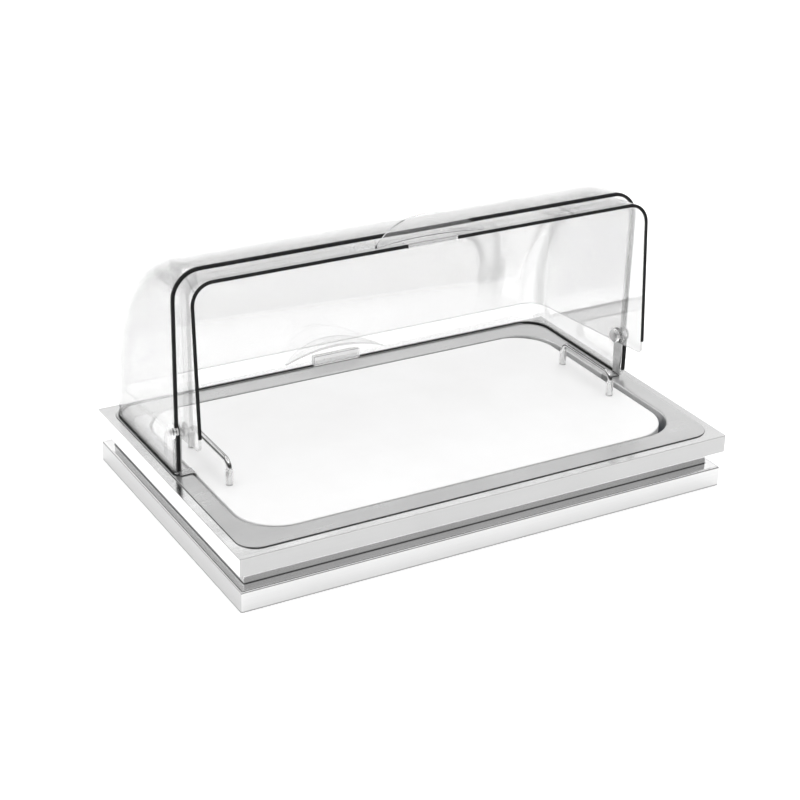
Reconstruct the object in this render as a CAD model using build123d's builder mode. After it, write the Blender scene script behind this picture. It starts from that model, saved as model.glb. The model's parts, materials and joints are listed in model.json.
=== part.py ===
"""Roll top buffet display for one full size gastronorm tray.

A polished two tier base carries a steel tray.  Two cold packs and a white serving board lie in the
tray.  Two steel brackets hook over the tray's rim and carry the pivots of a two part clear hood.  The
front hood is the inner one and is stored rolled back, nested inside the closed rear hood.

Millimetres.  X runs along the length, -Y is the serving side, +Z is up.  The origin is the centre of
the base's underside, on the surface that the base stands on.
"""
import os
from math import dist, sqrt

from build123d import *

# ---------------------------------------------------------------- driving dimensions
SHEET = 1.5                      # gauge of the base's folded sheet

UPPER_LENGTH, UPPER_WIDTH, UPPER_HEIGHT = 550, 345, 18.4
LOWER_LENGTH, LOWER_WIDTH, LOWER_HEIGHT = 546, 341, 21.5
BAND_LENGTH, BAND_WIDTH, BAND_HEIGHT = 528, 315, 18
LOWER_EDGE_ROUND = 2.4
FRAME_EDGE_ROUND = 0.6
FRAME_CORNER = 1.5
WELL_LENGTH, WELL_WIDTH = 512, 307          # clear opening through the base
PAN_WALL = 8

TRAY_GAUGE = 1.2
DECK = LOWER_HEIGHT + BAND_HEIGHT + UPPER_HEIGHT + TRAY_GAUGE    # top of the tray's rim, on the base
TRAY_LENGTH, TRAY_WIDTH, TRAY_CORNER = 530, 325, 21
MOUTH_LENGTH, MOUTH_WIDTH, MOUTH_CORNER = 491.5, 278, 45
MOUTH_ROUND = 2                  # where the rim turns down into the well
TRAY_DEPTH = 38.5
TRAY_DRAFT = 4                   # degrees
TRAY_FLOOR_ROUND = 11

BOARD_LENGTH, BOARD_WIDTH, BOARD_CORNER = 481, 274, 45
BOARD_THICKNESS = 15
BOARD_DROP = 0.5                 # board's top below the tray's rim
BOARD_EDGE_ROUND = 1.2
BOARD_SHIFT_X, BOARD_SHIFT_Y = -2.5, 0.2

PACK_LENGTH, PACK_WIDTH, PACK_CORNER = 222, 240, 16
PACK_SPACING = 230
PACK_EDGE_ROUND = 4
PLUG_RADIUS, PLUG_DEPTH = 14, 6
PLUG_DROP = 1                    # plug's top below the pack's

BAIL_X = 222.3                   # lifting handles of the board, each side of their centre
BAIL_SHIFT_X, BAIL_SHIFT_Y = -0.8, 4.7
BAIL_ROD = 2.5
BAIL_HALF_SPAN = 44.5
BAIL_RISE = 24.5
BAIL_BEND = 9
BAIL_ROOT = 6                    # length let into the board
COLLAR_RADIUS, COLLAR_HEIGHT = 3.8, 16
COLLAR_ROUND = 1

PIVOT_RISE = 47                  # hood axis above the deck
PIVOT_Z = DECK + PIVOT_RISE
HOOD_WALL = 2.4
HOOD_DROP = 45.6                 # hood's lower edge below the axis
EDGE_CLEARANCE = 0.5             # seal above the deck when the hood is down

REAR_RADIUS, REAR_HALF_LENGTH, REAR_CORNER = 166, 263, 29
FRONT_RADIUS, FRONT_HALF_LENGTH, FRONT_CORNER = 160, 256.5, 22.5
REAR_REACH = 4                   # rear hood's front edge, past the axis
REAR_TAB_REACH = 7               # the same edge below the axis
FRONT_REACH = 7                  # front hood's rear edge, past the axis
TAB_TOP = 6
LOWER_CORNER_ROUND = 6
FRONT_OPEN_ANGLE = 94.5          # rolled back from closed, degrees

SEAL_LIP = 0.5
SEAL_DEPTH = 0.8                 # how far the lips reach over the wall
SEAL_CROWN = 1.5                 # how far it stands out from the hood's front edge
SEAL_BOTTOM = EDGE_CLEARANCE - PIVOT_RISE    # underside of the bottom seals, from the axis
ARCH_SEAL_START = 6              # above the axis
SIDE_SEAL_TOP = -1               # below the axis
FRONT_SEAL_START = 6.5           # clears the bracket's foot
REAR_SEAL_START = 1

CLIP_HALF_WIDTH = 28
CLIP_WALL = 1.6
CLIP_CLEARANCE = 0.05            # from the hood's wall
CLIP_HEIGHT = 11
VISOR_HALF_SPAN = 61
VISOR_TIP = 2                    # width of its ends
VISOR_REACH = 23                 # out of the wall in the middle
VISOR_ARCH = 13                  # its middle above its ends
VISOR_THICKNESS = 2.8
VISOR_HEIGHT = 6.5               # its ends above the bottom seal's underside

BRACKET_GAUGE = 1.6
BRACKET_X = 257.7                # inner face of the upright
BRACKET_HALF_WIDTH = 8
BRACKET_FOOT_HALF_WIDTH = 5.5
BRACKET_FOOT_CLEARANCE = 0.2
BRACKET_FOOT_GAUGE = 1
HOOK_DEPTH = 10
HOOK_CLEARANCE = 1               # from the mouth of the drafted tray
HOOK_GAUGE = 1.2

PIN_RADIUS = 2.5
RUNNING_CLEARANCE = 0.05
SIDE_CLEARANCE = 0.3
WASHER_RADIUS = 5.5
CAP_RADIUS = 7.5
CAP_COVER = 1                    # between the pin's end and the cap's face
INNER_CAP_THICKNESS, INNER_CAP_ROUND = 3, 1.2
OUTER_CAP_THICKNESS, OUTER_CAP_ROUND = 3, 1.2

BOLT_RADIUS, BOLT_HEAD_RADIUS = 2, 3.2
BOLT_X, BOLT_Y = 259.3, 100
NUT_RADIUS, NUT_HEIGHT = 3.5, 3
SPACER_RADIUS = 3

SIDES = {"left": -1, "right": 1}
ENDS = {"front": -1, "rear": 1}
TOUCH = 0.01                     # points nearer than this are taken as the same

os.makedirs("parts", exist_ok=True)


def save(part, name):
    """Label one finished piece and write its STEP file."""
    part.label = name
    export_step(part, f"parts/{name}.step")


# ---------------------------------------------------------------- base
def folded_ring(length, width, height, z):
    """A sheet ring round the well, C shaped in section and open towards the middle."""
    with BuildPart() as ring:
        with BuildSketch(Plane.XY.offset(z)):
            RectangleRounded(length, width, FRAME_CORNER)
        extrude(amount=height)
        fillet(ring.faces().sort_by(Axis.Z)[-1].edges(), FRAME_EDGE_ROUND)
        with BuildSketch(Plane.XY.offset(z + SHEET)):
            Rectangle(length - 2 * SHEET, width - 2 * SHEET)
        extrude(amount=height - 2 * SHEET, mode=Mode.SUBTRACT)
        with BuildSketch(Plane.XY.offset(z)):
            Rectangle(WELL_LENGTH, WELL_WIDTH)
        extrude(amount=height, mode=Mode.SUBTRACT)
    return ring.part


UPPER_Z = LOWER_HEIGHT + BAND_HEIGHT
bolt_places = [(sx * BOLT_X, sy * BOLT_Y) for sx in (-1, 1) for sy in (-1, 1)]

with BuildPart() as upper_frame:
    add(folded_ring(UPPER_LENGTH, UPPER_WIDTH, UPPER_HEIGHT, UPPER_Z))
    with BuildSketch(Plane.XY.offset(UPPER_Z)):
        with Locations(*bolt_places):
            Circle(BOLT_RADIUS)
    extrude(amount=SHEET, mode=Mode.SUBTRACT)
save(upper_frame.part, "upper_frame")

with BuildPart() as recess_band:
    with BuildSketch(Plane.XY.offset(LOWER_HEIGHT)):
        RectangleRounded(BAND_LENGTH, BAND_WIDTH, FRAME_CORNER)
        Rectangle(BAND_LENGTH - 2 * SHEET, BAND_WIDTH - 2 * SHEET, mode=Mode.SUBTRACT)
    extrude(amount=BAND_HEIGHT)
save(recess_band.part, "recess_band")

with BuildPart() as lower_frame:
    with BuildSketch():
        RectangleRounded(LOWER_LENGTH, LOWER_WIDTH, FRAME_CORNER)
    extrude(amount=LOWER_HEIGHT)
    fillet(lower_frame.faces().sort_by(Axis.Z)[-1].edges(), LOWER_EDGE_ROUND)
    with BuildSketch():
        Rectangle(LOWER_LENGTH - 2 * SHEET, LOWER_WIDTH - 2 * SHEET)
    extrude(amount=LOWER_HEIGHT - SHEET, mode=Mode.SUBTRACT)
    with BuildSketch(Plane.XY.offset(LOWER_HEIGHT)):
        Rectangle(WELL_LENGTH, WELL_WIDTH)
        with Locations(*bolt_places):
            Circle(BOLT_RADIUS)
    extrude(amount=-SHEET, mode=Mode.SUBTRACT)
save(lower_frame.part, "lower_frame")

pan_length, pan_width = LOWER_LENGTH - 2 * SHEET, LOWER_WIDTH - 2 * SHEET
with BuildPart() as floor_pan:
    with BuildSketch():
        Rectangle(pan_length, pan_width)
    extrude(amount=PAN_WALL)
    with BuildSketch(Plane.XY.offset(SHEET)):
        Rectangle(pan_length - 2 * SHEET, pan_width - 2 * SHEET)
    extrude(amount=PAN_WALL, mode=Mode.SUBTRACT)
    with Locations(*[Plane((x, y, 0), z_dir=(0, 0, -1)) for x, y in bolt_places]):
        CounterSinkHole(BOLT_RADIUS, BOLT_HEAD_RADIUS, PAN_WALL, counter_sink_angle=90)
save(floor_pan.part, "floor_pan")

with BuildPart() as tie_bolts:
    with BuildSketch():
        with Locations(*bolt_places):
            Circle(BOLT_HEAD_RADIUS)
    extrude(amount=BOLT_HEAD_RADIUS - BOLT_RADIUS, taper=45)
    with BuildSketch():
        with Locations(*bolt_places):
            Circle(BOLT_RADIUS)
    extrude(amount=UPPER_Z + SHEET + NUT_HEIGHT)
save(tie_bolts.part, "tie_bolts")

with BuildPart() as tie_nuts:
    with BuildSketch(Plane.XY.offset(UPPER_Z + SHEET)):
        with Locations(*bolt_places):
            RegularPolygon(NUT_RADIUS, 6, major_radius=False)
            Circle(BOLT_RADIUS, mode=Mode.SUBTRACT)
    extrude(amount=NUT_HEIGHT)
save(tie_nuts.part, "tie_nuts")


def tubes(z, length):
    """Spacer tubes round the four tie bolts."""
    with BuildPart() as group:
        with BuildSketch(Plane.XY.offset(z)):
            with Locations(*bolt_places):
                Circle(SPACER_RADIUS)
                Circle(BOLT_RADIUS, mode=Mode.SUBTRACT)
        extrude(amount=length)
    return group.part


save(tubes(SHEET, LOWER_HEIGHT - 2 * SHEET), "lower_spacers")
save(tubes(LOWER_HEIGHT, BAND_HEIGHT), "upper_spacers")

# ---------------------------------------------------------------- tray and cold packs
with BuildPart() as tray_hollow:
    with BuildSketch(Plane.XY.offset(DECK)):
        RectangleRounded(MOUTH_LENGTH, MOUTH_WIDTH, MOUTH_CORNER)
    extrude(amount=-TRAY_DEPTH, taper=TRAY_DRAFT)
    fillet(tray_hollow.faces().sort_by(Axis.Z)[0].edges(), TRAY_FLOOR_ROUND)

with BuildPart() as gn_tray:
    with BuildSketch(Plane.XY.offset(DECK)):
        RectangleRounded(TRAY_LENGTH, TRAY_WIDTH, TRAY_CORNER)
    extrude(amount=-TRAY_GAUGE)
    with BuildSketch(Plane.XY.offset(DECK)):
        RectangleRounded(
            MOUTH_LENGTH + 2 * TRAY_GAUGE, MOUTH_WIDTH + 2 * TRAY_GAUGE, MOUTH_CORNER + TRAY_GAUGE
        )
    extrude(amount=-TRAY_DEPTH - TRAY_GAUGE, taper=TRAY_DRAFT)
    fillet(gn_tray.faces().sort_by(Axis.Z)[0].edges(), TRAY_FLOOR_ROUND + TRAY_GAUGE)
    rim_underside = gn_tray.faces().filter_by(Axis.Z).sort_by(Axis.Z)[-2]
    fillet(rim_underside.inner_wires()[0].edges(), MOUTH_ROUND - TRAY_GAUGE)
    add(tray_hollow.part, mode=Mode.SUBTRACT)
    rim_top = gn_tray.faces().filter_by(Axis.Z).sort_by(Axis.Z)[-1]
    fillet(rim_top.inner_wires()[0].edges(), MOUTH_ROUND)
save(gn_tray.part, "gn_tray")

BOARD_TOP = DECK - BOARD_DROP
BOARD_UNDERSIDE = BOARD_TOP - BOARD_THICKNESS
PACK_FLOOR = DECK - TRAY_DEPTH

for side, sign in SIDES.items():
    pack_x = sign * PACK_SPACING / 2
    with BuildPart() as cold_pack:
        with BuildSketch(Plane.XY.offset(PACK_FLOOR)):
            with Locations((pack_x, 0)):
                RectangleRounded(PACK_LENGTH, PACK_WIDTH, PACK_CORNER)
        extrude(amount=BOARD_UNDERSIDE - PACK_FLOOR)
        fillet(cold_pack.faces().sort_by(Axis.Z)[0].edges(), PACK_EDGE_ROUND)
        fillet(cold_pack.faces().sort_by(Axis.Z)[-1].edges(), PACK_EDGE_ROUND)
        with BuildSketch(Plane.XY.offset(BOARD_UNDERSIDE)):
            with Locations((pack_x, -PACK_WIDTH / 3)):
                Circle(PLUG_RADIUS)
        extrude(amount=-PLUG_DEPTH, mode=Mode.SUBTRACT)
    save(cold_pack.part, f"cold_pack_{side}")

    with BuildPart() as pack_plug:
        with BuildSketch(Plane.XY.offset(BOARD_UNDERSIDE - PLUG_DEPTH)):
            with Locations((pack_x, -PACK_WIDTH / 3)):
                Circle(PLUG_RADIUS)
        extrude(amount=PLUG_DEPTH - PLUG_DROP)
    save(pack_plug.part, f"cold_pack_plug_{side}")

# ---------------------------------------------------------------- serving board and its lifting bails
def bail_leg(side, end):
    """Where a bail's leg stands on the board."""
    return BAIL_SHIFT_X + SIDES[side] * BAIL_X, BAIL_SHIFT_Y + ENDS[end] * BAIL_HALF_SPAN


bail_legs = [bail_leg(side, end) for side in SIDES for end in ENDS]

with BuildPart() as serving_board:
    with BuildSketch(Plane.XY.offset(BOARD_UNDERSIDE)):
        with Locations((BOARD_SHIFT_X, BOARD_SHIFT_Y)):
            RectangleRounded(BOARD_LENGTH, BOARD_WIDTH, BOARD_CORNER)
    extrude(amount=BOARD_THICKNESS)
    fillet(serving_board.faces().sort_by(Axis.Z)[-1].edges(), BOARD_EDGE_ROUND)
    with BuildSketch(Plane.XY.offset(BOARD_TOP)):
        with Locations(*bail_legs):
            Circle(BAIL_ROD)
    extrude(amount=-BAIL_ROOT, mode=Mode.SUBTRACT)
save(serving_board.part, "serving_board")

for side in SIDES:
    root_z = BOARD_TOP - BAIL_ROOT
    top_z = BOARD_TOP + BAIL_RISE
    bail_x, front_y = bail_leg(side, "front")
    rear_y = bail_leg(side, "rear")[1]
    with BuildPart() as bail:
        with BuildLine(Plane.YZ.offset(bail_x)):
            FilletPolyline(
                (front_y, root_z), (front_y, top_z), (rear_y, top_z), (rear_y, root_z), radius=BAIL_BEND
            )
        with BuildSketch(Plane.XY.offset(root_z)):
            with Locations((bail_x, front_y)):
                Circle(BAIL_ROD)
        sweep()
    save(bail.part, f"bail_{side}")

    for end in ENDS:
        with BuildPart() as collar:
            with BuildSketch(Plane.XY.offset(BOARD_TOP)):
                with Locations(bail_leg(side, end)):
                    Circle(COLLAR_RADIUS)
            extrude(amount=COLLAR_HEIGHT)
            fillet(collar.faces().sort_by(Axis.Z)[-1].edges(), COLLAR_ROUND)
            with BuildSketch(Plane.XY.offset(BOARD_TOP)):
                with Locations(bail_leg(side, end)):
                    Circle(BAIL_ROD)
            extrude(amount=COLLAR_HEIGHT, mode=Mode.SUBTRACT)
        save(collar.part, f"bail_collar_{side}_{end}")

# ---------------------------------------------------------------- brackets and pivots
def across(sign, x):
    """A sketch plane square to X at x, facing outwards; its own x runs along +/-Y, its y up."""
    return Plane(origin=(sign * x, 0, PIVOT_Z), x_dir=(0, sign, 0), z_dir=(sign, 0, 0))


def disc(sign, x, thickness, radius, bore=0.0):
    """A disc or ring on the hood axis, from x outwards."""
    with BuildPart() as piece:
        with BuildSketch(across(sign, x)):
            Circle(radius)
            if bore:
                Circle(bore, mode=Mode.SUBTRACT)
        extrude(amount=thickness)
    return piece.part


FOOT_BOTTOM = BRACKET_FOOT_CLEARANCE - PIVOT_RISE         # heights below the hood axis
FOOT_TOP = FOOT_BOTTOM + BRACKET_FOOT_GAUGE
hook_outer_x = MOUTH_LENGTH / 2 - HOOK_CLEARANCE
bracket_outer_x = BRACKET_X + BRACKET_GAUGE
inner_cap_x = FRONT_HALF_LENGTH - HOOD_WALL - SIDE_CLEARANCE - INNER_CAP_THICKNESS
outer_cap_x = REAR_HALF_LENGTH + SEAL_LIP + SIDE_CLEARANCE
inner_washer_x = FRONT_HALF_LENGTH + SIDE_CLEARANCE
outer_washer_end = REAR_HALF_LENGTH - HOOD_WALL - SIDE_CLEARANCE

for side, sign in SIDES.items():
    outwards = Axis((0, 0, 0), (sign, 0, 0))
    with BuildPart() as bracket:
        with BuildSketch(across(sign, BRACKET_X)):
            with BuildLine():
                Polyline(
                    (-BRACKET_HALF_WIDTH, 0),
                    (-BRACKET_FOOT_HALF_WIDTH, FOOT_TOP + BRACKET_HALF_WIDTH),
                    (-BRACKET_FOOT_HALF_WIDTH, FOOT_BOTTOM),
                    (BRACKET_FOOT_HALF_WIDTH, FOOT_BOTTOM),
                    (BRACKET_FOOT_HALF_WIDTH, FOOT_TOP + BRACKET_HALF_WIDTH),
                    (BRACKET_HALF_WIDTH, 0),
                )
                RadiusArc((BRACKET_HALF_WIDTH, 0), (-BRACKET_HALF_WIDTH, 0), -BRACKET_HALF_WIDTH)
            make_face()
            Circle(PIN_RADIUS, mode=Mode.SUBTRACT)
        extrude(amount=BRACKET_GAUGE)
        with BuildSketch(Plane.XZ.offset(-BRACKET_FOOT_HALF_WIDTH)):
            with BuildLine():
                hook_inner_x = hook_outer_x - HOOK_GAUGE
                Polyline(
                    (sign * bracket_outer_x, PIVOT_Z + FOOT_BOTTOM),
                    (sign * hook_outer_x, PIVOT_Z + FOOT_BOTTOM),
                    (sign * hook_outer_x, DECK - HOOK_DEPTH),
                    (sign * hook_inner_x, DECK - HOOK_DEPTH),
                    (sign * hook_inner_x, PIVOT_Z + FOOT_TOP),
                    (sign * bracket_outer_x, PIVOT_Z + FOOT_TOP),
                    close=True,
                )
            make_face()
        extrude(amount=2 * BRACKET_FOOT_HALF_WIDTH)
    save(bracket.part, f"bracket_{side}")

    pin_start = inner_cap_x + CAP_COVER
    with BuildPart() as pin:
        with BuildSketch(across(sign, pin_start)):
            Circle(PIN_RADIUS)
        extrude(amount=outer_cap_x + OUTER_CAP_THICKNESS - CAP_COVER - pin_start)
    save(pin.part, f"pivot_pin_{side}")

    with BuildPart() as inner_cap:
        with BuildSketch(across(sign, inner_cap_x)):
            Circle(CAP_RADIUS)
        extrude(amount=INNER_CAP_THICKNESS)
        fillet(inner_cap.edges().group_by(outwards)[0], INNER_CAP_ROUND)
        add(pin.part, mode=Mode.SUBTRACT)
    save(inner_cap.part, f"inner_cap_{side}")

    with BuildPart() as outer_cap:
        with BuildSketch(across(sign, outer_cap_x)):
            Circle(CAP_RADIUS)
        extrude(amount=OUTER_CAP_THICKNESS)
        fillet(outer_cap.edges().group_by(outwards)[-1], OUTER_CAP_ROUND)
        add(pin.part, mode=Mode.SUBTRACT)
    save(outer_cap.part, f"outer_cap_{side}")

    inner_washer = disc(sign, inner_washer_x, BRACKET_X - inner_washer_x, WASHER_RADIUS, PIN_RADIUS)
    save(inner_washer, f"inner_washer_{side}")
    outer_washer = disc(
        sign, bracket_outer_x, outer_washer_end - bracket_outer_x, WASHER_RADIUS, PIN_RADIUS
    )
    save(outer_washer, f"outer_washer_{side}")

# ---------------------------------------------------------------- hoods
def local_middle(plane, edge):
    """Where an edge's middle is on the hood's plane: outwards, then up."""
    middle = plane.to_local_coords(edge.center())
    return middle.X, middle.Y


def hood_volume(plane, radius, half_length, corner, drop, reach):
    """Closed volume of a hood: a quarter drum with straight sides below the axis.

    On the plane, x points out of the hood and y up, when the hood is down.
    """
    with BuildPart() as volume:
        with BuildSketch(plane):
            with BuildLine():
                split_top = (-reach, sqrt(radius**2 - reach**2))
                Polyline(split_top, (-reach, -drop), (radius, -drop), (radius, 0))
                RadiusArc((radius, 0), split_top, -radius)
            make_face()
        extrude(amount=half_length, both=True)
        ends = volume.faces().filter_by(Axis.X)
        drum = [edge for edge in ends.edges() if edge.geom_type == GeomType.CIRCLE]
        wall = [
            edge for edge in ends.edges()
            if abs(local_middle(plane, edge)[0] - radius) < TOUCH
        ]
        fillet(drum + wall, corner)
    return volume.part


def hood_skin(plane, radius, half_length, corner, drop, reach, grow=0.0):
    """The hood's wall, open below and at the split, thickened by grow on both faces."""
    outer = hood_volume(plane, radius + grow, half_length + grow, corner + grow, drop, reach)
    thickness = HOOD_WALL + grow
    # the hollow runs on past the open faces
    inner = hood_volume(
        plane, radius - thickness, half_length - thickness, corner - thickness, 2 * drop, 2 * reach
    )
    with BuildPart() as skin:
        add(outer)
        add(inner, mode=Mode.SUBTRACT)
    return skin.part


def block(plane, x_range, y_range, half_length):
    """A block symmetrical about the plane, used to trim a hood piece."""
    with BuildPart() as solid:
        with BuildSketch(plane):
            with Locations(((x_range[0] + x_range[1]) / 2, (y_range[0] + y_range[1]) / 2)):
                Rectangle(x_range[1] - x_range[0], y_range[1] - y_range[0])
        extrude(amount=half_length, both=True)
    return solid.part


def hood_shell(plane, radius, half_length, corner, reach, tab_reach):
    """One hood moulding, with its two pivot holes and a tab round each of them."""
    far = 2 * radius
    with BuildPart() as shell:
        add(hood_skin(plane, radius, half_length, corner, HOOD_DROP, tab_reach))
        if reach < tab_reach:
            add(block(plane, (-far, -reach), (TAB_TOP, far), far), mode=Mode.SUBTRACT)
        lower_corners = [
            edge for edge in shell.edges().filter_by(Axis.X)
            if dist(local_middle(plane, edge), (-tab_reach, -HOOD_DROP)) < TOUCH
        ]
        fillet(lower_corners, LOWER_CORNER_ROUND)
        with BuildSketch(plane):
            Circle(PIN_RADIUS + RUNNING_CLEARANCE)
        extrude(amount=far, both=True, mode=Mode.SUBTRACT)
    return shell.part


def edge_seal(plane, shell, radius, half_length, corner, reach, x_range, y_range, gap=0.0):
    """A channel seal pressed over the part of a hood's edge inside the given ranges."""
    with BuildPart() as seal:
        add(hood_skin(plane, radius, half_length, corner, -SEAL_BOTTOM, reach, SEAL_LIP))
        add(block(plane, x_range, y_range, 2 * half_length), mode=Mode.INTERSECT)
        add(shell, mode=Mode.SUBTRACT)
        if gap:
            add(block(plane, (0, 2 * radius), (-2 * HOOD_DROP, 0), gap), mode=Mode.SUBTRACT)
    return seal.part


def hood_handle(plane, radius):
    """A clear clip over the hood's lower edge, and above it an arched visor to lift the hood by."""
    root = plane.from_local_coords((radius, SEAL_BOTTOM + VISOR_HEIGHT))
    inner_half_span = VISOR_HALF_SPAN - VISOR_TIP
    with BuildPart() as visor:
        with BuildSketch(Plane(origin=root, x_dir=-plane.z_dir, z_dir=plane.x_dir)):
            with BuildLine():
                ThreePointArc((-VISOR_HALF_SPAN, 0), (0, VISOR_ARCH), (VISOR_HALF_SPAN, 0))
                Line((VISOR_HALF_SPAN, 0), (inner_half_span, 0))
                ThreePointArc(
                    (inner_half_span, 0), (0, VISOR_ARCH - VISOR_THICKNESS), (-inner_half_span, 0)
                )
                Line((-inner_half_span, 0), (-VISOR_HALF_SPAN, 0))
            make_face()
        extrude(amount=VISOR_REACH)
        with BuildSketch(Plane(origin=root, x_dir=plane.z_dir, z_dir=plane.y_dir)):
            with BuildLine():
                ThreePointArc(
                    (-VISOR_HALF_SPAN, VISOR_TIP), (0, VISOR_REACH), (VISOR_HALF_SPAN, VISOR_TIP)
                )
                Polyline(
                    (VISOR_HALF_SPAN, VISOR_TIP),
                    (VISOR_HALF_SPAN, 0),
                    (-VISOR_HALF_SPAN, 0),
                    (-VISOR_HALF_SPAN, VISOR_TIP),
                )
            make_face()
        extrude(amount=VISOR_ARCH, mode=Mode.INTERSECT)
    with BuildPart() as handle:
        add(block(
            plane,
            (radius - HOOD_WALL - CLIP_WALL, radius + CLIP_WALL),
            (SEAL_BOTTOM, SEAL_BOTTOM + CLIP_HEIGHT),
            CLIP_HALF_WIDTH,
        ))
        fillet(handle.edges().filter_by(Axis.X), CLIP_WALL / 3)
        add(block(
            plane,
            (radius - HOOD_WALL - CLIP_CLEARANCE, radius + CLIP_CLEARANCE),
            (-HOOD_DROP - CLIP_CLEARANCE, 0),
            2 * CLIP_HALF_WIDTH,
        ), mode=Mode.SUBTRACT)
        add(visor.part)
    return handle.part


rear_plane = Plane(origin=(0, 0, PIVOT_Z), x_dir=(0, 1, 0), z_dir=(1, 0, 0))
front_plane = Plane(origin=(0, 0, PIVOT_Z), x_dir=(0, -1, 0), z_dir=(-1, 0, 0))
hood_axis = Axis((0, 0, PIVOT_Z), (1, 0, 0))

rear_size = (REAR_RADIUS, REAR_HALF_LENGTH, REAR_CORNER)
front_size = (FRONT_RADIUS, FRONT_HALF_LENGTH, FRONT_CORNER)
seal_heights = (SEAL_BOTTOM, -HOOD_DROP)

rear_shell = hood_shell(rear_plane, *rear_size, REAR_REACH, REAR_TAB_REACH)
save(rear_shell, "rear_hood_shell")
save(edge_seal(
    rear_plane, rear_shell, *rear_size, REAR_TAB_REACH,
    (REAR_SEAL_START, 2 * REAR_RADIUS), seal_heights, CLIP_HALF_WIDTH,
), "rear_hood_bottom_seal")
save(edge_seal(
    rear_plane, rear_shell, *rear_size, REAR_REACH + SEAL_CROWN,
    (-REAR_REACH - SEAL_CROWN, -REAR_REACH + SEAL_DEPTH), (ARCH_SEAL_START, 2 * REAR_RADIUS),
), "rear_hood_arch_seal")
save(edge_seal(
    rear_plane, rear_shell, *rear_size, REAR_TAB_REACH + SEAL_CROWN,
    (-REAR_TAB_REACH - SEAL_CROWN, -REAR_TAB_REACH + SEAL_DEPTH),
    (LOWER_CORNER_ROUND - HOOD_DROP, SIDE_SEAL_TOP),
), "rear_hood_side_seals")
save(hood_handle(rear_plane, REAR_RADIUS), "rear_hood_handle")

# the front hood is drawn down, then rolled back to where it is stored
front_shell = hood_shell(front_plane, *front_size, FRONT_REACH, FRONT_REACH)
front_pieces = {
    "front_hood_shell": front_shell,
    "front_hood_bottom_seal": edge_seal(
        front_plane, front_shell, *front_size, FRONT_REACH,
        (FRONT_SEAL_START, 2 * FRONT_RADIUS), seal_heights, CLIP_HALF_WIDTH,
    ),
    "front_hood_handle": hood_handle(front_plane, FRONT_RADIUS),
}
for name, piece in front_pieces.items():
    save(piece.rotate(hood_axis, -FRONT_OPEN_ANGLE), name)
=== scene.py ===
import json
from math import radians

import bmesh
import bpy
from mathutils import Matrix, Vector

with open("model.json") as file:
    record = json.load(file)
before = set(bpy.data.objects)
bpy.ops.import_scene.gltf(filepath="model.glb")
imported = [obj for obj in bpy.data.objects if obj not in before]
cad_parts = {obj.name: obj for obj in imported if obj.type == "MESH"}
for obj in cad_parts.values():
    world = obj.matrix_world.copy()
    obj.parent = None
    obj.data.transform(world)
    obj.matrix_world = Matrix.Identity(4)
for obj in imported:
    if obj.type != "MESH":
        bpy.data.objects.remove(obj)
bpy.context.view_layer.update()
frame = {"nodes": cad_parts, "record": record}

# ---------------------------------------------------------------- camera
CAMERA_PLACE = (-0.894, -1.517, 0.931)
CAMERA_TURN = (64.27, -1.40, -29.47)    # degrees about X, Y and Z
CAMERA_LENS = 85.75                     # mm, on a 36 mm sensor


def add_camera():
    """The camera looks down over the base's front left corner."""
    data = bpy.data.cameras.new("camera")
    data.sensor_width = 36
    data.lens = CAMERA_LENS
    camera = bpy.data.objects.new("camera", data)
    camera.location = CAMERA_PLACE
    camera.rotation_euler = [radians(angle) for angle in CAMERA_TURN]
    bpy.context.scene.collection.objects.link(camera)
    bpy.context.scene.camera = camera


# ---------------------------------------------------------------- materials
BEVEL_SAMPLES = 6
CREVICE_SHADE_SAMPLES = 8


class Graph:
    """A node tree, and short calls that add nodes to it."""

    def __init__(self, tree):
        self.nodes = tree.nodes
        self.links = tree.links

    def join(self, source, target):
        self.links.new(source, target)

    def combine(self, first, second, operation="ADD"):
        """Two values combined into one."""
        node = self.nodes.new("ShaderNodeMath")
        node.operation = operation
        for socket, value in zip(node.inputs, (first, second)):
            if isinstance(value, float):
                socket.default_value = value
            else:
                self.join(value, socket)
        return node.outputs["Value"]

    def axes(self, vector):
        """The X, Y and Z of a vector, as outputs by name."""
        split = self.nodes.new("ShaderNodeSeparateXYZ")
        self.join(vector, split.inputs["Vector"])
        return split.outputs

    def ray(self, kind):
        """1 for rays of the kind, 0 for others."""
        return self.nodes.new("ShaderNodeLightPath").outputs[kind]


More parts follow.
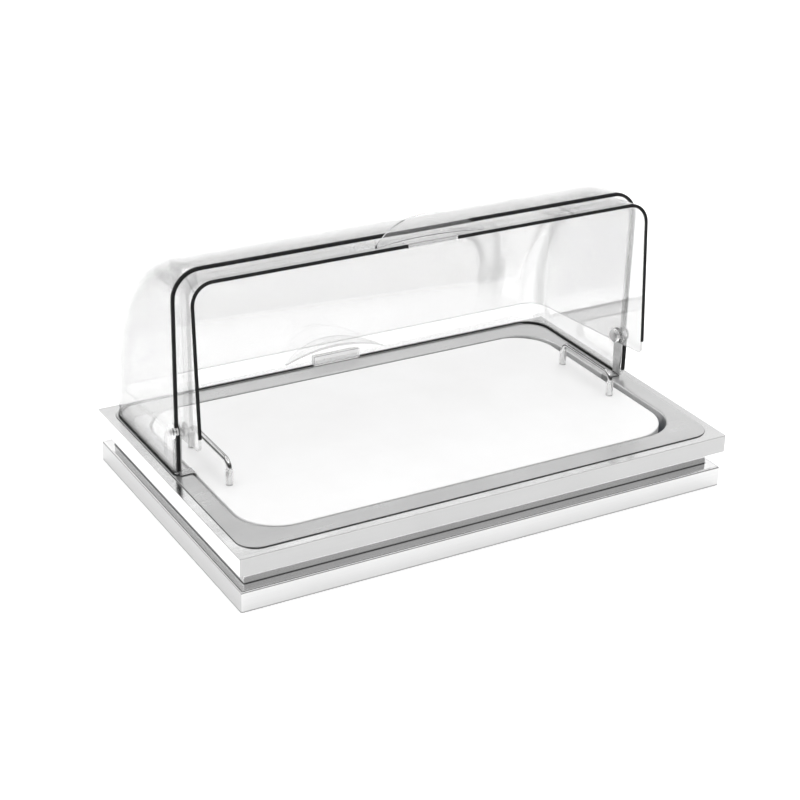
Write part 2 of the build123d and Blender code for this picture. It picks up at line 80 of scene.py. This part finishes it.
class Paint(Graph):
    """One procedural material: a Principled shader, and short calls for the nodes that feed it."""

    def __init__(self, name, values):
        self.material = bpy.data.materials.new(name)
        self.material.use_nodes = True
        super().__init__(self.material.node_tree)
        self.shader = self.nodes["Principled BSDF"]
        for socket, value in values.items():
            self.shader.inputs[socket].default_value = value
        self.place = self.nodes.new("ShaderNodeTexCoord").outputs["Object"]

    def feed(self, socket, source):
        """Let an output drive one of the shader's sockets."""
        self.join(source, self.shader.inputs[socket])

    def noise(self, scale, stretch=(1, 1, 1), detail=3, roughness=0.55):
        """Noise with scale features in a metre; a small stretch value draws it out along that axis."""
        mapping = self.nodes.new("ShaderNodeMapping")
        mapping.inputs["Scale"].default_value = stretch
        self.join(self.place, mapping.inputs["Vector"])
        texture = self.nodes.new("ShaderNodeTexNoise")
        texture.inputs["Scale"].default_value = scale
        texture.inputs["Detail"].default_value = detail
        texture.inputs["Roughness"].default_value = roughness
        self.join(mapping.outputs["Vector"], texture.inputs["Vector"])
        return texture.outputs["Fac"]

    def spread(self, source, low, high, start=0.3, end=0.7):
        """Map the part of source between start and end onto low to high."""
        node = self.nodes.new("ShaderNodeMapRange")
        self.join(source, node.inputs["Value"])
        limits = {"From Min": start, "From Max": end, "To Min": low, "To Max": high}
        for socket, value in limits.items():
            node.inputs[socket].default_value = value
        return node.outputs["Result"]

    def blend(self, share, first, second):
        """A colour that goes from first to second with share."""
        node = self.nodes.new("ShaderNodeMix")
        node.data_type = "RGBA"
        self.join(share, node.inputs["Factor"])
        colours = [socket for socket in node.inputs if socket.type == "RGBA"]
        for socket, value in zip(colours, (first, second)):
            if isinstance(value, tuple):
                socket.default_value = (*value, 1)
            else:
                self.join(value, socket)
        return next(socket for socket in node.outputs if socket.type == "RGBA")

    def relief(self, height, distance, under=None):
        """Bump of the given depth in metres; under is another relief that this one adds to."""
        node = self.nodes.new("ShaderNodeBump")
        node.inputs["Strength"].default_value = 1
        node.inputs["Distance"].default_value = distance
        self.join(height, node.inputs["Height"])
        if under is not None:
            self.join(under, node.inputs["Normal"])
        return node.outputs["Normal"]

    def rounded(self, radius):
        """The surface's normal with its sharp edges eased."""
        node = self.nodes.new("ShaderNodeBevel")
        node.samples = BEVEL_SAMPLES
        node.inputs["Radius"].default_value = radius
        return node.outputs["Normal"]

    def normal(self):
        """The surface's direction."""
        return self.nodes.new("ShaderNodeNewGeometry").outputs["Normal"]

    def facing(self, axis):
        """1 on faces that look along the axis, 0 on the others."""
        along = self.axes(self.normal())[axis]
        return self.spread(self.combine(along, along, "MULTIPLY"), 0.0, 1.0, 0.4, 0.6)

    def crevice_shade(self, depth):
        """Mask for painted shade, from ambient occlusion: from 0 in gaps narrower than depth to 1 on
        open faces.
        """
        node = self.nodes.new("ShaderNodeAmbientOcclusion")
        node.samples = CREVICE_SHADE_SAMPLES
        node.inputs["Distance"].default_value = depth
        return node.outputs["AO"]

    def edges(self, radius):
        """From 0 on open faces to 1 on edges, over the given radius."""
        dot = self.nodes.new("ShaderNodeVectorMath")
        dot.operation = "DOT_PRODUCT"
        self.join(self.normal(), dot.inputs[0])
        self.join(self.rounded(radius), dot.inputs[1])
        return self.spread(dot.outputs["Value"], 1.0, 0.0, 0.80, 0.995)

    def slanted(self, blend):
        """From 0 where the surface is seen straight on to 1 where it is seen edge on, for gloss."""
        node = self.nodes.new("ShaderNodeLayerWeight")
        node.inputs["Blend"].default_value = blend
        return node.outputs["Facing"]

    def see_through(self):
        """A shader that lets light straight through, tinted by its Color."""
        return self.nodes.new("ShaderNodeBsdfTransparent")

    def mix(self, first, second):
        """A mix of two shaders, and the socket for the second one's share."""
        node = self.nodes.new("ShaderNodeMixShader")
        self.join(first, node.inputs[1])
        self.join(second, node.inputs[2])
        return node.outputs["Shader"], node.inputs["Fac"]


def grey(value, warmth=0.0):
    """A grey, a little warmer or cooler."""
    return (value * (1 + warmth), value, value * (1 - warmth))


ALONG = (0.004, 1, 1)        # stretch that draws noise out along X
ACROSS = (1, 0.004, 1)       # and along Y
STEEL_WAVE = 0.00004         # metres, how far sheet steel is out of flat
STEEL_EDGE = 0.0006          # metres, radius of its worn edges
# painted shade in gaps and creases: how far it reaches and how dark it gets
CREVICE_SHADE_DEPTH = 0.0025       # metres
CREVICE_SHADE_TONE = 0.02
# painted reflection of dark surroundings on chrome
FLANK_REFLECTION_TONE = 0.10            # the dark band on chrome
CLEAR_INDEX = 1.49           # acrylic
SLANT_TONE = 0.95            # clear sheet seen at a slant
SHADE_TONE = 0.965           # light that each surface of a clear sheet lets through


def steel(name, light, dark, rough, brush, ends=1.0, top=1.0):
    """Sheet steel: cloudy tone, fine brushing, faint waves, brighter worn edges and painted shade in
    gaps and creases.

    rough is a range of roughness and brush the depth of the brushing in metres.  The tone is multiplied
    by ends on faces that look along X, and by top on faces that look along Z: painted light and shade,
    for the light that those faces catch.
    """
    paint = Paint(name, {"Metallic": 1.0})
    cloud = paint.noise(9, detail=5)
    lines = paint.noise(2600, ALONG, detail=2)
    smears = paint.noise(28, (0.5, 1, 1), detail=6, roughness=0.65)
    tone = paint.blend(paint.spread(cloud, 0.0, 1.0), grey(dark), grey(light))
    # Painted light and shade: the tone on faces that look along X or Z is scaled by ends and top.
    for axis, factor in (("X", ends), ("Z", top)):
        if factor != 1.0:
            tone = paint.blend(paint.facing(axis), tone, grey(min(light * factor, 1.0)))
    streaked = paint.blend(paint.spread(lines, 0.0, 0.10), tone, grey(dark * 0.7))
    worn = paint.blend(paint.edges(STEEL_EDGE), streaked, grey(min(light * 1.08, 1.0)))
    # Painted shade: ambient occlusion darkens gaps and creases to a near-black tone.
    crevice_shade = paint.spread(paint.crevice_shade(CREVICE_SHADE_DEPTH), 0.0, 1.0, 0.45, 0.85)
    paint.feed("Base Color", paint.blend(crevice_shade, grey(CREVICE_SHADE_TONE), worn))
    rubbed = paint.combine(paint.spread(smears, *rough), paint.spread(lines, 0.0, 0.05))
    paint.feed("Roughness", rubbed)
    waves = paint.relief(paint.noise(7, detail=1), STEEL_WAVE, under=paint.rounded(STEEL_EDGE))
    paint.feed("Normal", paint.relief(lines, brush, under=waves))
    return paint.material


def chrome(name):
    """Bright plating with a painted reflection, a dark band along its flanks, faint marks along the rod
    and a few dull spots.

    The band stands in for the dark surroundings that such plating mirrors.
    """
    paint = Paint(name, {"Metallic": 1.0, "Specular Tint": (*grey(0.0), 1)})
    spots = paint.noise(160, detail=4)
    bright = paint.blend(paint.spread(spots, 0.0, 1.0), grey(0.78), grey(0.88))
    # Painted reflection: a dark band on faces that tilt partly upward.
    upward = paint.axes(paint.normal())["Z"]
    start = paint.spread(upward, 0.0, 1.0, 0.12, 0.24)
    end = paint.spread(upward, 1.0, 0.0, 0.46, 0.60)
    band = paint.combine(start, end, "MULTIPLY")
    paint.feed("Base Color", paint.blend(band, bright, grey(FLANK_REFLECTION_TONE)))
    paint.feed("Roughness", paint.spread(paint.noise(60, detail=5), 0.01, 0.05))
    paint.feed("Normal", paint.relief(paint.noise(900, (1, 0.05, 1)), 0.000004))
    return paint.material


def plastic(name, light, dark, rough, grain, depth, warmth=0.0):
    """Moulded plastic: two close tones, specks, a grained surface and rounded edges.

    grain is the number of grains in a metre and depth their depth in metres.
    """
    paint = Paint(name, {})
    clouds = paint.spread(paint.noise(20, detail=5), 0.0, 1.0)
    tone = paint.blend(clouds, grey(dark, warmth), grey(light, warmth))
    specks = paint.noise(grain * 0.6, detail=2)
    tone = paint.blend(paint.spread(specks, 0.0, 0.25, 0.55, 0.75), tone, grey(dark * 0.94, warmth))
    paint.feed("Base Color", tone)
    paint.feed("Roughness", paint.spread(paint.noise(45, detail=6), *rough))
    grains = paint.noise(grain, detail=4)
    paint.feed("Normal", paint.relief(grains, depth, under=paint.rounded(0.0005)))
    return paint.material


def board_plastic(name):
    """White cutting board sheet: fine matt texture and faint knife marks both ways."""
    paint = Paint(name, {"Specular IOR Level": 0.45})
    clouds = paint.spread(paint.noise(14, detail=5), 0.0, 1.0)
    tone = paint.blend(clouds, grey(0.90, 0.002), grey(0.93, 0.0))
    marks = paint.combine(
        paint.spread(paint.noise(420, ALONG, detail=1), 0.0, 1.0, 0.70, 0.80),
        paint.spread(paint.noise(420, ACROSS, detail=1), 0.0, 1.0, 0.70, 0.80),
        "MAXIMUM",
    )
    paint.feed("Base Color", paint.blend(paint.spread(marks, 0.0, 0.10, 0.0, 1.0), tone, grey(0.80)))
    paint.feed("Roughness", paint.spread(paint.noise(60, detail=6), 0.42, 0.56))
    texture = paint.relief(paint.noise(1500, detail=3), 0.00005, under=paint.rounded(0.0006))
    paint.feed("Normal", paint.relief(marks, -0.00004, under=texture))
    return paint.material


def clear_plastic(name, light, dark, rough, wave, cut_edge, cut_shade_tone, ends=1.0, gloss=1.0):
    """Acrylic: clear to the eye with faint waves, dust, wipe marks and painted shade along its cut
    edges.

    Light that only passes through goes straight on.  gloss is the share of the full reflection that is
    kept, and the rest only tints.  The tone of walls that look along X is multiplied by ends, a painted
    shade that keeps them in sight before the pale floor.
    """
    paint = Paint(name, {"Transmission Weight": 1.0, "IOR": CLEAR_INDEX})
    wipes = paint.noise(35, (1, 1, 0.3), detail=6, roughness=0.7)
    dust = paint.noise(1800, detail=1)
    wiped = paint.blend(paint.spread(wipes, 0.0, 1.0), grey(light), grey(dark))
    tone = paint.blend(paint.spread(dust, 0.0, 0.4, 0.74, 0.82), wiped, grey(dark * 0.9))
    # Painted shade on walls that look along X, scaled by ends.
    if ends != 1.0:
        tone = paint.blend(paint.facing("X"), tone, grey(light * ends))
    curved = paint.blend(paint.slanted(0.25), tone, grey(SLANT_TONE))
    # Painted shade along the cut edges, standing in for the dark lines that internal reflection draws
    # there.
    tint = paint.blend(paint.edges(cut_edge), curved, grey(cut_shade_tone))
    paint.feed("Base Color", tint)
    paint.feed("Roughness", paint.spread(wipes, *rough))
    paint.feed("Normal", paint.relief(paint.noise(11, detail=1), wave))
    film = paint.see_through()
    paint.join(tint, film.inputs["Color"])
    shown, share = paint.mix(film.outputs["BSDF"], paint.shader.outputs["BSDF"])
    share.default_value = gloss
    straight = paint.see_through()
    straight.inputs["Color"].default_value = (*grey(SHADE_TONE), 1)
    for kind in ("Is Shadow Ray", "Is Diffuse Ray", "Is Reflection Ray"):
        shown, share = paint.mix(shown, straight.outputs["BSDF"])
        paint.join(paint.ray(kind), share)
    paint.join(shown, paint.nodes["Material Output"].inputs["Surface"])
    return paint.material


def rubber(name):
    """Soft black seal: matt skin, faint bloom and a fine grain."""
    paint = Paint(name, {"Specular IOR Level": 0.15})
    bloom = paint.spread(paint.noise(70, detail=6, roughness=0.7), 0.0, 1.0, 0.45, 0.75)
    paint.feed("Base Color", paint.blend(bloom, grey(0.008), grey(0.02)))
    paint.feed("Roughness", paint.spread(paint.noise(120, detail=4), 0.42, 0.62))
    paint.feed("Normal", paint.relief(paint.noise(1400, detail=3), 0.00003))
    return paint.material


MATERIALS = {
    # ends=1.35 paints extra light on the tray's faces that look along X.
    "tray_steel": steel(
        "tray_steel", light=0.74, dark=0.67, rough=(0.24, 0.34), brush=0.000012, ends=1.35,
    ),
    "plain_steel": steel(
        "plain_steel", light=0.62, dark=0.52, rough=(0.32, 0.45), brush=0.00002,
    ),
    "bracket_steel": steel(
        "bracket_steel", light=0.60, dark=0.50, rough=(0.20, 0.30), brush=0.000012,
    ),
    "chrome": chrome("chrome"),
    "board_plastic": board_plastic("board_plastic"),
    "collar_plastic": clear_plastic(
        "collar_plastic", light=0.98, dark=0.95, rough=(0.15, 0.30), wave=0.00002,
        cut_edge=0.0004, cut_shade_tone=0.8,
    ),
    "cap_plastic": clear_plastic(
        "cap_plastic", light=0.97, dark=0.94, rough=(0.20, 0.40), wave=0.00002,
        cut_edge=0.0004, cut_shade_tone=0.8,
    ),
    "washer_plastic": plastic(
        "washer_plastic", light=0.82, dark=0.74, rough=(0.30, 0.45), grain=1400, depth=0.00001,
        warmth=0.01,
    ),
    "pack_plastic": plastic(
        "pack_plastic", light=0.62, dark=0.55, rough=(0.35, 0.50), grain=900, depth=0.00004,
        warmth=-0.18,
    ),
    "plug_plastic": plastic(
        "plug_plastic", light=0.88, dark=0.82, rough=(0.30, 0.42), grain=1200, depth=0.00002,
    ),
    "hood_clear": clear_plastic(
        "hood_clear", light=0.995, dark=0.985, rough=(0.0, 0.03), wave=0.00006,
        cut_edge=0.0010, cut_shade_tone=0.25, ends=0.92, gloss=0.4,
    ),
    "handle_clear": clear_plastic(
        "handle_clear", light=0.95, dark=0.92, rough=(0.02, 0.08), wave=0.00003,
        cut_edge=0.0006, cut_shade_tone=0.3,
    ),
    "seal_rubber": rubber("seal_rubber"),
}
# The three tiers' tones and their ends and top factors are painted light and shade, set to the light
# each tier catches; their roughness ranges are their own polish.
FRAME_STEEL = {
    "upper_frame": steel(
        "upper_frame_steel", light=0.52, dark=0.49, rough=(0.12, 0.20), brush=0.000006,
        ends=1.7, top=1.4,
    ),
    "lower_frame": steel(
        "lower_frame_steel", light=0.72, dark=0.69, rough=(0.04, 0.09), brush=0.000003, ends=0.78,
    ),
    "recess_band": steel(
        "recess_band_steel", light=0.84, dark=0.78, rough=(0.06, 0.12), brush=0.000003, ends=0.7,
    ),
}


def paint_frame():
    """Give every CAD node its slot's material, and the base's three tiers their own polish and their
    own painted light and shade.
    """
    slots = {part["node"]: part["material_slot"] for part in frame["record"]["subparts"]}
    for name, node in frame["nodes"].items():
        finish = FRAME_STEEL.get(name) or MATERIALS[slots[name]]
        for socket in node.material_slots:
            socket.material = finish


# ---------------------------------------------------------------- studio
FLOOR_HALF_SIDE = 6          # metres
FLOOR_GLOW = 0.4

# The tent is drawn by the height of the direction, from 0 at the horizon to 1 straight above.  Each
# list gives (height, value) stops, but NEAR_SIDE goes by how far the direction looks along -Y.
TENT_STRENGTH = 1.55
TENT = (
    (0.10, 0.6), (0.39, 0.38), (0.43, 0.48), (0.46, 1.0), (0.55, 1.0),
    (0.58, 0.02), (0.67, 0.02), (0.72, 0.7),
)
NEAR_SIDE = ((0.15, 0.0), (0.5, 1.0))
NEAR_DARKNESS = 0.92
NEAR_SCREEN = ((0.10, 0.0), (0.22, NEAR_DARKNESS), (0.70, NEAR_DARKNESS), (0.74, 0.0))
OVERHEAD = ((0.74, 0.0), (0.80, 1.0))
OVERHEAD_EXTRA = 0.45
ZENITH_DIMMING = ((0.84, 0.0), (0.93, 0.6))    # how much darker the steel sees it straight above

# place and aim in metres, size in metres, power in watts
LAMPS = {
    "overhead": ((0.1, 0.1, 2.4), (0, 0, 0), (1.6, 1.2), 8),
    "left": ((-2.2, -0.4, 1.6), (-0.3, 0, 0), (1.2, 1.0), 3),
}


def add_floor():
    """A wide pale floor, faintly mottled and lit from below, as a light table is.

    Its own light doesn't count where it is seen through a clear sheet.
    """
    mesh = bpy.data.meshes.new("floor")
    shape = bmesh.new()
    bmesh.ops.create_grid(shape, x_segments=2, y_segments=2, size=FLOOR_HALF_SIDE)
    shape.to_mesh(mesh)
    shape.free()
    floor = bpy.data.objects.new("floor", mesh)
    bpy.context.scene.collection.objects.link(floor)
    paint = Paint("floor_paint", {"Roughness": 0.75, "Specular IOR Level": 0.2})
    paint.shader.inputs["Emission Color"].default_value = (1, 1, 1, 1)
    glow = paint.spread(paint.ray("Is Transmission Ray"), FLOOR_GLOW, 0.0, 0.0, 1.0)
    paint.feed("Emission Strength", glow)
    paint.feed("Base Color", paint.blend(paint.noise(5, detail=5), grey(0.90), grey(0.93)))
    mesh.materials.append(paint.material)


def add_lamp(name, place, aim, size, power):
    """A soft box that faces aim and isn't seen in reflections."""
    data = bpy.data.lights.new(name, "AREA")
    data.shape = "RECTANGLE"
    data.size, data.size_y = size
    data.energy = power
    lamp = bpy.data.objects.new(name, data)
    lamp.visible_glossy = False
    lamp.location = place
    lamp.rotation_euler = (Vector(aim) - Vector(place)).to_track_quat("-Z", "Y").to_euler()
    bpy.context.scene.collection.objects.link(lamp)


def add_world():
    """A light tent: bright top, a dark ring below it, grey to the horizon and on the camera's side.

    Straight above it is dimmer in reflections, so that level steel isn't white when seen from the top.
    """
    world = bpy.data.worlds.new("tent")
    world.use_nodes = True
    graph = Graph(world.node_tree)

    def shade(source, stops):
        """A value that follows source through (position, value) stops."""
        node = graph.nodes.new("ShaderNodeValToRGB")
        elements = node.color_ramp.elements
        while len(elements) < len(stops):
            elements.new(0.5)
        for element, (position, value) in zip(elements, stops):
            element.position = position
            element.color = (value, value, value, 1)
        graph.join(source, node.inputs["Fac"])
        return node.outputs["Color"]

    direction = graph.axes(graph.nodes.new("ShaderNodeTexCoord").outputs["Generated"])
    height = direction["Z"]
    near_side = shade(graph.combine(direction["Y"], -1.0, "MULTIPLY"), NEAR_SIDE)
    darkness = graph.combine(near_side, shade(height, NEAR_SCREEN), "MULTIPLY")
    strength = graph.combine(TENT_STRENGTH, darkness, "SUBTRACT")
    tent = graph.combine(shade(height, TENT), strength, "MULTIPLY")
    overhead = graph.combine(shade(height, OVERHEAD), OVERHEAD_EXTRA, "MULTIPLY")
    dimming = graph.combine(graph.ray("Is Glossy Ray"), shade(height, ZENITH_DIMMING), "MULTIPLY")
    kept = graph.combine(1.0, dimming, "SUBTRACT")
    light = graph.combine(graph.combine(tent, overhead), kept, "MULTIPLY")
    background = graph.nodes["Background"]
    graph.join(light, background.inputs["Strength"])
    background.inputs["Color"].default_value = (1, 1, 1, 1)
    bpy.context.scene.world = world


add_camera()
paint_frame()
add_floor()
add_world()
for lamp_name, (lamp_place, lamp_aim, lamp_size, lamp_power) in LAMPS.items():
    add_lamp(lamp_name, lamp_place, lamp_aim, lamp_size, lamp_power)
bpy.context.scene.view_settings.view_transform = "Standard"
